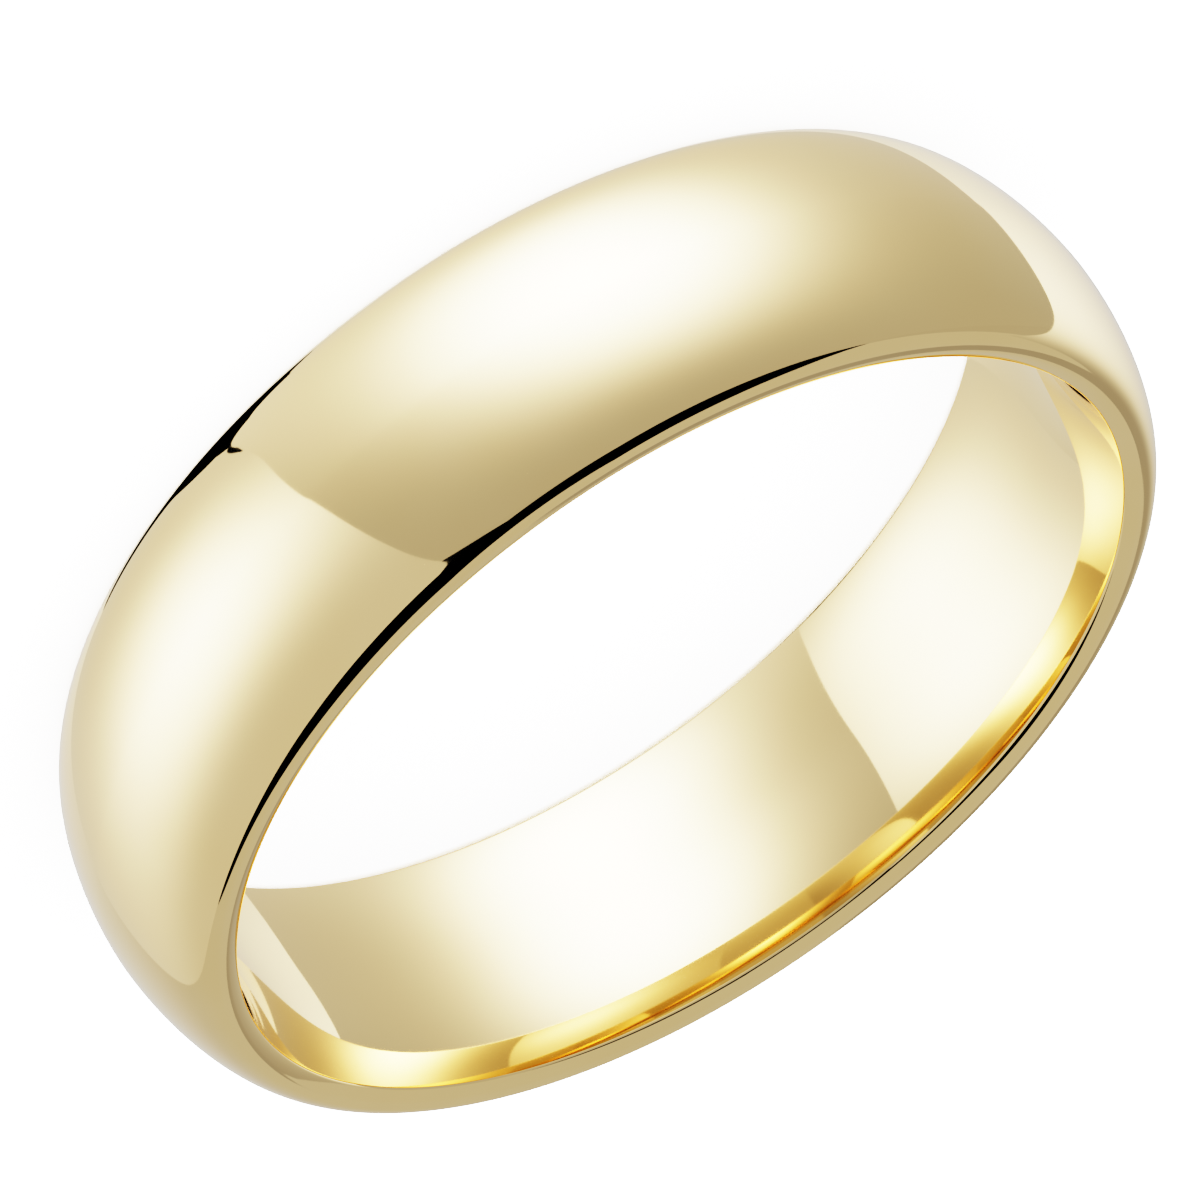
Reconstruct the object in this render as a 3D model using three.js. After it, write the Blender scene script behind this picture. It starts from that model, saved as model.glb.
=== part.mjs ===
// A plain wedding band: one ring of polished yellow gold with a half-round outside and a
// comfort-fit bore. Millimetres, +Z up. The ring lies flat: its finger hole runs along Z,
// and the origin is on that axis, in the plane of the lower rim that it rests on.
import * as THREE from "three";

const degrees = THREE.MathUtils.degToRad;

// Driving dimensions
const WIDTH = 6; // across the band, from rim to rim
const BORE_GIRTH = 64; // round the inside, in the middle of the band: ISO ring size 64
const WALL = 1.75; // metal between the bore and the crown, in the middle of the band
const RIM_INNER_RADIUS = 10.67; // each flat rim runs from here ...
const RIM_OUTER_RADIUS = 10.87; // ... to here, where the dome starts
const BEVEL_RUN = 0.24; // from the rim in towards the bore, measured along the radius
const BEVEL_ANGLE = degrees(27); // from the rim's plane
const EDGE_ROUNDING = 0.1; // radius between the bevel and the bore
const BORE_SLOPE = degrees(12); // how far the bore leans out where it meets that rounding
const DOME_POWER = 1.8; // of the dome's superellipse: 2 would be a plain ellipse

// Fineness of the facets
const STEPS_ROUND = 96;
const STEPS_BORE = 8;
const STEPS_ROUNDING = 3;
const STEPS_DOME = 18;

const HALF_WIDTH = WIDTH / 2;
const BORE_RADIUS = BORE_GIRTH / (2 * Math.PI);
const CROWN_RADIUS = BORE_RADIUS + WALL;

// Heights are measured from the band's middle plane, and points are (radius, height).

// The outside, from the lower rim over the crown to the upper rim: half a superellipse
// that stands on the rims' outer edges.
function domeProfile() {
  const rise = CROWN_RADIUS - RIM_OUTER_RADIUS;
  return Array.from({ length: STEPS_DOME + 1 }, (_, i) => {
    const turn = Math.PI * (i / STEPS_DOME - 0.5);
    const across = Math.abs(Math.cos(turn)) ** (2 / DOME_POWER);
    const along = Math.abs(Math.sin(turn)) ** (2 / DOME_POWER);
    return new THREE.Vector2(
      RIM_OUTER_RADIUS + rise * across,
      HALF_WIDTH * Math.sign(turn) * along,
    );
  });
}

// The rounding between the upper bevel and the bore: an arc that starts square to the
// bevel and ends square to the bore's wall.
function roundingProfile() {
  const start = Math.PI / 2 - BEVEL_ANGLE;
  const centre = new THREE.Vector2(
    RIM_INNER_RADIUS - BEVEL_RUN + EDGE_ROUNDING * Math.cos(start),
    HALF_WIDTH - BEVEL_RUN * Math.tan(BEVEL_ANGLE) - EDGE_ROUNDING * Math.sin(start),
  );
  return Array.from({ length: STEPS_ROUNDING + 1 }, (_, i) => {
    const angle = start + ((BORE_SLOPE - start) * i) / STEPS_ROUNDING;
    return new THREE.Vector2(
      centre.x - EDGE_ROUNDING * Math.cos(angle),
      centre.y + EDGE_ROUNDING * Math.sin(angle),
    );
  });
}

// The comfort-fit bore, from its upper edge down to its lower edge: narrowest in the
// middle, opening out as a power of the height, which meets both edges at BORE_SLOPE.
function boreProfile(edge) {
  const opening = edge.x - BORE_RADIUS;
  const power = (Math.tan(BORE_SLOPE) * edge.y) / opening;
  return Array.from({ length: STEPS_BORE + 1 }, (_, i) => {
    const share = 1 - (2 * i) / STEPS_BORE;
    return new THREE.Vector2(
      BORE_RADIUS + opening * Math.abs(share) ** power,
      edge.y * share,
    );
  });
}

function mirrored(points) {
  return points.map((p) => new THREE.Vector2(p.x, -p.y)).reverse();
}

// The whole section of the ring, closed on itself.
function bandProfile() {
  const rounding = roundingProfile();
  const edge = rounding.pop();
  const upperEdge = [new THREE.Vector2(RIM_INNER_RADIUS, HALF_WIDTH), ...rounding];
  const section = [
    ...domeProfile(),
    ...upperEdge,
    ...boreProfile(edge),
    ...mirrored(upperEdge),
  ];
  return [...section, section[0].clone()];
}

const gold = new THREE.MeshStandardMaterial({
  name: "yellow_gold",
  color: "#d3bf83",
  metalness: 1,
  roughness: 0.06,
});

const band = new THREE.Mesh(
  new THREE.LatheGeometry(bandProfile(), STEPS_ROUND),
  gold,
);
band.name = "band";
band.rotation.x = Math.PI / 2; // a lathe turns about Y, and the finger hole runs along Z
band.position.z = HALF_WIDTH;

const ring = new THREE.Group();
ring.add(band);

export default ring;
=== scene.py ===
"""A polished yellow gold wedding band lying on a white floor, seen through a rolled long lens."""
import math

import bpy
from mathutils import Matrix, Vector


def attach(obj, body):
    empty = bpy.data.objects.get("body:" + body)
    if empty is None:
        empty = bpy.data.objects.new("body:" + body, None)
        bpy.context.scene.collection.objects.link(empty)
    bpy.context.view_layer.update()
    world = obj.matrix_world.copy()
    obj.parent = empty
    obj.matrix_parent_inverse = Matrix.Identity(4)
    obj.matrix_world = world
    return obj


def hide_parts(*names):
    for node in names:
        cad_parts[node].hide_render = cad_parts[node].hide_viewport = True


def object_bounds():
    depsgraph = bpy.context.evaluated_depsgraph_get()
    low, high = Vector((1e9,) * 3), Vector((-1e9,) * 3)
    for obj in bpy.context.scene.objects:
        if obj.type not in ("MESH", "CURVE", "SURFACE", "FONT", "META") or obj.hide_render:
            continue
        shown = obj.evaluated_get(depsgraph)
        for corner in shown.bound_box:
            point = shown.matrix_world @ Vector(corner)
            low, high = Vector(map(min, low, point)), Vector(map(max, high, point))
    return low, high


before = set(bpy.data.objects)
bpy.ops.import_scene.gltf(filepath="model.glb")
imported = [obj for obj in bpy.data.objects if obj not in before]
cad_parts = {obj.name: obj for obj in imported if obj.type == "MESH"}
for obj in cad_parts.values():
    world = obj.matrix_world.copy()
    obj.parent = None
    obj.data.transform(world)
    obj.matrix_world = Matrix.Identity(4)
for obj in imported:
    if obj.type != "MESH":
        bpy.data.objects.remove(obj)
cad_low, cad_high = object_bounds()

MM = 0.001

# The ring's section, in metres, as in the CAD model. The overall sizes come from the frame.
WIDTH = cad_high.z - cad_low.z
HALF_WIDTH = WIDTH / 2
CROWN_RADIUS = cad_high.x
WALL = 1.75 * MM  # metal between the bore and the crown
BORE_RADIUS = CROWN_RADIUS - WALL
RIM_INNER_RADIUS = 10.67 * MM
RIM_OUTER_RADIUS = 10.87 * MM
BEVEL_RUN = 0.24 * MM  # from the rim in towards the bore, measured along the radius
BEVEL_ANGLE = math.radians(27)  # from the rim's plane
BEVEL_CROWN = math.radians(8)  # how much polishing has rounded the bevel, each way
RIM_EASING = 0.012 * MM  # how far polishing has lowered the rim's inner edge
EDGE_ROUNDING = 0.1 * MM  # radius between the bevel and the bore
BORE_SLOPE = math.radians(12)  # how far the bore leans out where it meets that rounding
DOME_POWER = 1.8  # of the dome's superellipse: 2 would be a plain ellipse

# Fineness of the visible mesh
STEPS_ROUND = 384
STEPS_BORE = 40
STEPS_ROUNDING = 12
STEPS_BEVEL = 8
STEPS_RIM = 6
STEPS_DOME = 96

# The camera: a long lens above the ring, rolled over
CAMERA_ELEVATION = math.radians(28.86)
CAMERA_ROLL = math.radians(143.63)
CAMERA_DISTANCE = 183.5 * MM
FIELD_OF_VIEW = math.radians(7.533)
# How far the ring's centre stands right of and below the middle of the picture
CENTRE_RIGHT = 0.28 * MM
CENTRE_DOWN = 0.64 * MM

# The film: how bright a scene turns white, where its middle grey lies, and how steep it is
FILM_WHITE = 6.0
FILM_MIDDLE = 0.5
FILM_CONTRAST = 1.84
FILM_STOPS = (0.03, 0.06, 0.12, 0.25, 0.5, 0.75, 1.0, 1.5, 2.0, 3.0, 4.0)

# The studio
FLOOR_SIZE = 4.0
PAPER_WHITE = 0.9
PAPER_ROUGHNESS = 0.9
SURROUND_LIGHT = 10.0
WHITE = (1, 1, 1, 1)
CARD_STEPS_ACROSS = 48
CARD_STEPS_DOWN = 10

# The gold: its colour, its polish, and the fine lines that polishing leaves round the ring
GOLD_COLOUR = (0.955, 0.75, 0.43, 1)
GOLD_COLOUR_DEEP = (0.945, 0.735, 0.41, 1)
ROUGHNESS_LOW = 0.025
ROUGHNESS_HIGH = 0.055
CLOUD_SIZE = 3.0 * MM
POLISHING_PITCH = 0.12 * MM
POLISHING_DEPTH = 0.00008 * MM
LINES_PER_RADIAN = 1.5


def dome_profile():
    """Half a superellipse from the lower rim over the crown to the upper rim, (radius, height)."""
    points = []
    for i in range(STEPS_DOME + 1):
        turn = math.pi * (i / STEPS_DOME - 0.5)
        across = abs(math.cos(turn)) ** (2 / DOME_POWER)
        along = abs(math.sin(turn)) ** (2 / DOME_POWER)
        radius = RIM_OUTER_RADIUS + (CROWN_RADIUS - RIM_OUTER_RADIUS) * across
        points.append((radius, math.copysign(HALF_WIDTH * along, turn)))
    return points


def rim_profile():
    """From the dome's upper end to the rounding: the rim, eased inwards, and the crowned bevel."""
    points = []
    for i in range(1, STEPS_RIM + 1):
        share = i / STEPS_RIM
        radius = RIM_OUTER_RADIUS + (RIM_INNER_RADIUS - RIM_OUTER_RADIUS) * share
        points.append((radius, HALF_WIDTH - RIM_EASING * share**2))
    start = points[-1]
    end = (RIM_INNER_RADIUS - BEVEL_RUN, HALF_WIDTH - BEVEL_RUN * math.tan(BEVEL_ANGLE))
    length = math.dist(start, end)
    for i in range(1, STEPS_BEVEL + 1):
        share = i / STEPS_BEVEL
        bulge = length * math.tan(BEVEL_CROWN) * share * (1 - share)
        radius = start[0] + (end[0] - start[0]) * share - bulge * math.sin(BEVEL_ANGLE)
        height = start[1] + (end[1] - start[1]) * share + bulge * math.cos(BEVEL_ANGLE)
        points.append((radius, height))
    return points


def rounding_profile(bevel_end):
    """The arc between the bevel's lower end and the bore."""
    start = math.pi / 2 - BEVEL_ANGLE - BEVEL_CROWN
    centre_r = bevel_end[0] + EDGE_ROUNDING * math.cos(start)
    centre_z = bevel_end[1] - EDGE_ROUNDING * math.sin(start)
    points = []
    for i in range(1, STEPS_ROUNDING + 1):
        angle = start + (BORE_SLOPE - start) * i / STEPS_ROUNDING
        radius = centre_r - EDGE_ROUNDING * math.cos(angle)
        height = centre_z + EDGE_ROUNDING * math.sin(angle)
        points.append((radius, height))
    return points


def bore_profile(edge):
    """The comfort-fit bore, from its upper edge down to its lower edge."""
    opening = edge[0] - BORE_RADIUS
    power = math.tan(BORE_SLOPE) * edge[1] / opening
    points = []
    for i in range(STEPS_BORE + 1):
        share = 1 - 2 * i / STEPS_BORE
        points.append((BORE_RADIUS + opening * abs(share) ** power, edge[1] * share))
    return points


def mirrored(points):
    return [(r, -z) for r, z in reversed(points)]


def band_profile():
    """The whole section, counter-clockwise, with the last point joined to the first."""
    upper = rim_profile()
    upper += rounding_profile(upper[-1])
    bore = bore_profile(upper.pop())
    return dome_profile() + upper + bore + mirrored(upper)


def make_band():
    """The ring as one fine closed mesh."""
    section = band_profile()
    count = len(section)
    vertices = []
    for turn in range(STEPS_ROUND):
        angle = 2 * math.pi * turn / STEPS_ROUND
        for radius, height in section:
            vertices.append((radius * math.cos(angle), radius * math.sin(angle), HALF_WIDTH + height))
    faces = []
    for turn in range(STEPS_ROUND):
        here = turn * count
        there = (turn + 1) % STEPS_ROUND * count
        for i in range(count):
            j = (i + 1) % count
            faces.append((here + i, there + i, there + j, here + j))
    mesh = bpy.data.meshes.new("band_surface")
    mesh.from_pydata(vertices, [], faces)
    mesh.polygons.foreach_set("use_smooth", [True] * len(faces))
    mesh.update()
    band = bpy.data.objects.new("polished_band", mesh)
    bpy.context.collection.objects.link(band)
    return band


def make_camera():
    """A camera on the -Y side, above the ring, aimed at it and then rolled about its own axis."""
    back = Vector((0, -math.cos(CAMERA_ELEVATION), math.sin(CAMERA_ELEVATION)))
    upright = back.to_track_quat("Z", "Y").to_matrix()
    turned = upright @ Matrix.Rotation(CAMERA_ROLL, 3, "Z")
    right, up = turned.col[0], turned.col[1]
    centre = Vector((0, 0, HALF_WIDTH))
    data = bpy.data.cameras.new("camera")
    data.sensor_width = 36
    data.lens = data.sensor_width / 2 / math.tan(FIELD_OF_VIEW / 2)
    data.clip_start = 0.01
    data.clip_end = 20
    camera = bpy.data.objects.new("camera", data)
    camera.matrix_world = turned.to_4x4()
    camera.location = centre + back * CAMERA_DISTANCE - right * CENTRE_RIGHT + up * CENTRE_DOWN
    bpy.context.collection.objects.link(camera)
    bpy.context.scene.camera = camera


def set_film():
    """The film's response: an S-shaped curve on each channel, so bright gold pales to white."""
    view = bpy.context.scene.view_settings
    view.view_transform = "Standard"
    view.use_curve_mapping = True
    mapping = view.curve_mapping
    mapping.white_level = (FILM_WHITE,) * 3
    curve = mapping.curves[3]
    for light in FILM_STOPS:
        response = 1 / (1 + (FILM_MIDDLE / light) ** FILM_CONTRAST)
        curve.points.new(light / FILM_WHITE, response)
    mapping.update()


class Nodes:
    """Short names for building a node tree."""

    def __init__(self, tree):
        self.tree = tree

    def new(self, kind, inputs=(), **settings):
        node = self.tree.nodes.new(kind)
        for key, value in settings.items():
            setattr(node, key, value)
        for socket, value in enumerate(inputs):
            if isinstance(value, bpy.types.NodeSocket):
                self.tree.links.new(value, node.inputs[socket])
            elif value is not None:
                node.inputs[socket].default_value = value
        return node

    def math(self, operation, *values):
        return self.new("ShaderNodeMath", values, operation=operation).outputs[0]

    def dot(self, vector, axis):
        return self.new("ShaderNodeVectorMath", (vector, axis), operation="DOT_PRODUCT").outputs["Value"]

    def bell(self, x, y):
        """1 where x and y are 0, falling smoothly to nothing past about 2."""
        total = self.math("ADD", self.math("MULTIPLY", x, x), self.math("MULTIPLY", y, y))
        return self.math("POWER", math.e, self.math("MULTIPLY", total, -1.0))

    def between(self, value, low, high, low_result, high_result):
        inputs = (value, low, high, low_result, high_result)
        return self.new("ShaderNodeMapRange", inputs).outputs[0]


def direction(azimuth, elevation):
    """A unit vector, with azimuth 0 towards -Y, where the camera is, and 90 towards +X."""
    a, e = math.radians(azimuth), math.radians(elevation)
    return Vector((math.sin(a) * math.cos(e), -math.cos(a) * math.cos(e), math.sin(e)))


def glow_material(name, base, nadir=0.0, spots=()):
    """Light of one level, with more towards the floor and soft hot spots if asked.

    Everything goes by the direction from the middle of the floor, where the ring lies. A spot is
    (peak, azimuth, elevation, spread across, spread up), and the spreads are sines of angles.
    """
    material = bpy.data.materials.new(name)
    material.use_nodes = True
    material.cycles.emission_sampling = "NONE"
    tree = material.node_tree
    tree.nodes.clear()
    n = Nodes(tree)
    place = n.new("ShaderNodeTexCoord").outputs["Object"]
    towards = n.new("ShaderNodeVectorMath", (place,), operation="NORMALIZE").outputs[0]
    below = n.math("MAXIMUM", n.dot(towards, (0, 0, -1)), 0.0)
    level = n.math("ADD", n.math("MULTIPLY", n.math("POWER", below, 2.0), nadir), base)
    for peak, azimuth, elevation, spread_across, spread_up in spots:
        hot = direction(azimuth, elevation)
        across = Vector((0, 0, 1)).cross(hot).normalized()
        x = n.math("DIVIDE", n.dot(towards, across), spread_across)
        y = n.math("DIVIDE", n.dot(towards, hot.cross(across)), spread_up)
        front = n.math("GREATER_THAN", n.dot(towards, hot), 0.0)
        shine = n.math("MULTIPLY", n.math("MULTIPLY", n.bell(x, y), front), peak)
        level = n.math("ADD", level, shine)
    emission = n.new("ShaderNodeEmission", (WHITE, level))
    output = n.new("ShaderNodeOutputMaterial")
    tree.links.new(emission.outputs[0], output.inputs["Surface"])
    return material


def smooth_between(rows, position):
    """Catmull-Rom through a list of tuples, at a position counted in rows."""
    i = min(int(position), len(rows) - 2)
    t = position - i
    before, after = rows[max(i - 1, 0)], rows[min(i + 2, len(rows) - 1)]
    start, end = rows[i], rows[i + 1]
    return [
        0.5 * (2 * b + (c - a) * t + (2 * a - 5 * b + 4 * c - d) * t**2 + (3 * b - a - 3 * c + d) * t**3)
        for a, b, c, d in zip(before, start, end, after)
    ]


def make_card(name, place, rows, material):
    """A curved card that is seen in reflections only.

    Each row is (elevation, left azimuth, right azimuth) in degrees, and place(azimuth, elevation)
    gives a point.
    """
    vertices, faces = [], []
    down = (len(rows) - 1) * CARD_STEPS_DOWN
    for j in range(down + 1):
        elevation, left, right = smooth_between(rows, j / CARD_STEPS_DOWN)
        for i in range(CARD_STEPS_ACROSS + 1):
            azimuth = left + (right - left) * i / CARD_STEPS_ACROSS
            vertices.append(place(azimuth, elevation))
    for j in range(down):
        for i in range(CARD_STEPS_ACROSS):
            k = j * (CARD_STEPS_ACROSS + 1) + i
            faces.append((k, k + 1, k + CARD_STEPS_ACROSS + 2, k + CARD_STEPS_ACROSS + 1))
    mesh = bpy.data.meshes.new(name)
    mesh.from_pydata(vertices, [], faces)
    mesh.materials.append(material)
    card = bpy.data.objects.new(name, mesh)
    bpy.context.collection.objects.link(card)
    card.visible_camera = False
    card.visible_diffuse = False
    card.visible_transmission = False
    card.visible_volume_scatter = False
    card.visible_shadow = False


def far(distance):
    """Places on a sphere round the ring, by azimuth and elevation in degrees."""
    return lambda azimuth, elevation: direction(azimuth, elevation) * distance


def make_tent():
    """A plain light tent: a soft sweep, a soft panel on each side, and black flags between them."""
    surround = glow_material("surround_glow", base=0.6, nadir=0.9)
    sweep = glow_material("sweep_glow", base=0.5, nadir=0.5, spots=[(6.5, -37, -35, 0.4, 0.4)])
    right = glow_material("right_glow", base=0.7, nadir=0.2, spots=[(3, 67, -28, 0.5, 0.3)])
    left = glow_material("left_glow", base=0.35, nadir=1.15, spots=[(1.5, -123, -10, 0.5, 0.45)])
    black = glow_material("flag_black", base=0.0)
    make_card("surround", far(0.8), [(90, -180, 180), (0, -180, 180), (-90, -180, 180)], surround)
    make_card(
        "upper_flag", far(0.7),
        [(80, -80, 80), (65, -90, 125), (45, -90, 130), (30, -100, 120)],
        black,
    )
    make_card(
        "sweep", far(0.6),
        [(55, -30, 5), (40, -95, 18), (20, -130, 30), (0, -135, 40), (-30, -150, 60), (-60, -180, 180),
         (-90, -180, 180)],
        sweep,
    )
    make_card(
        "lower_flag", far(0.55),
        [(-50, 150, 168), (-58, 65, 170), (-66, 65, 170), (-75, 110, 150)],
        black,
    )
    make_card(
        "left_panel", far(0.55),
        [(30, -180, -124), (0, -180, -124), (-30, -180, -132), (-47, -180, -160)],
        left,
    )
    make_card(
        "right_panel", far(0.5),
        [(50, 25, 75), (40, 20, 118), (0, 24, 130), (-40, 36, 140), (-60, 52, 145), (-70, 85, 100)],
        right,
    )


def make_floor():
    """A plain white floor, which the ring doesn't mirror."""
    bpy.ops.mesh.primitive_plane_add(size=FLOOR_SIZE)
    floor = bpy.context.object
    floor.name = "floor"
    floor.visible_glossy = False
    material = bpy.data.materials.new("white_paper")
    material.use_nodes = True
    shader = material.node_tree.nodes["Principled BSDF"]
    shader.inputs["Base Color"].default_value = (PAPER_WHITE,) * 3 + (1,)
    shader.inputs["Roughness"].default_value = PAPER_ROUGHNESS
    shader.inputs["Specular IOR Level"].default_value = 0.0
    floor.data.materials.append(material)


def make_world():
    """Even soft light from all sides, which the camera sees as a white surround."""
    world = bpy.data.worlds.new("soft_light")
    world.use_nodes = True
    background = world.node_tree.nodes["Background"]
    background.inputs["Color"].default_value = WHITE
    background.inputs["Strength"].default_value = SURROUND_LIGHT
    bpy.context.scene.world = world


def make_gold():
    """Hand-polished yellow gold: a mirror with faint polishing lines round the ring."""
    material = bpy.data.materials.new("yellow_gold")
    material.use_nodes = True
    tree = material.node_tree
    shader = tree.nodes["Principled BSDF"]
    shader.inputs["Metallic"].default_value = 1
    n = Nodes(tree)
    place = n.new("ShaderNodeTexCoord").outputs["Object"]
    x, y, z = n.new("ShaderNodeSeparateXYZ", (place,)).outputs
    angle = n.math("ARCTAN2", y, x)
    radius = n.math("SQRT", n.math("ADD", n.math("MULTIPLY", x, x), n.math("MULTIPLY", y, y)))
    lines = (
        n.math("MULTIPLY", angle, LINES_PER_RADIAN),
        n.math("DIVIDE", radius, POLISHING_PITCH),
        n.math("DIVIDE", z, POLISHING_PITCH),
    )
    along = n.new("ShaderNodeCombineXYZ", lines).outputs[0]
    polishing = n.new("ShaderNodeTexNoise", (along, None, 1.0, 3.0, 0.6)).outputs["Fac"]
    clouds = n.new("ShaderNodeTexNoise", (place, None, 1 / CLOUD_SIZE, 2.0, 0.5)).outputs["Fac"]
    haze = n.math("ADD", n.math("MULTIPLY", clouds, 0.6), n.math("MULTIPLY", polishing, 0.4))
    roughness = n.between(haze, 0.3, 0.7, ROUGHNESS_LOW, ROUGHNESS_HIGH)
    tree.links.new(roughness, shader.inputs["Roughness"])
    tone = n.new("ShaderNodeMix", (), data_type="RGBA")
    tone.inputs["A"].default_value = GOLD_COLOUR
    tone.inputs["B"].default_value = GOLD_COLOUR_DEEP
    tree.links.new(n.between(clouds, 0.35, 0.65, 0.0, 1.0), tone.inputs["Factor"])
    tree.links.new(tone.outputs["Result"], shader.inputs["Base Color"])
    bump = n.new("ShaderNodeBump", ())
    bump.inputs["Strength"].default_value = 1.0
    bump.inputs["Distance"].default_value = POLISHING_DEPTH
    tree.links.new(polishing, bump.inputs["Height"])
    tree.links.new(bump.outputs["Normal"], shader.inputs["Normal"])
    return material


band = make_band()
band.data.materials.append(make_gold())
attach(band, "root")
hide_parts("band")
make_camera()
make_tent()
make_floor()
make_world()
set_film()
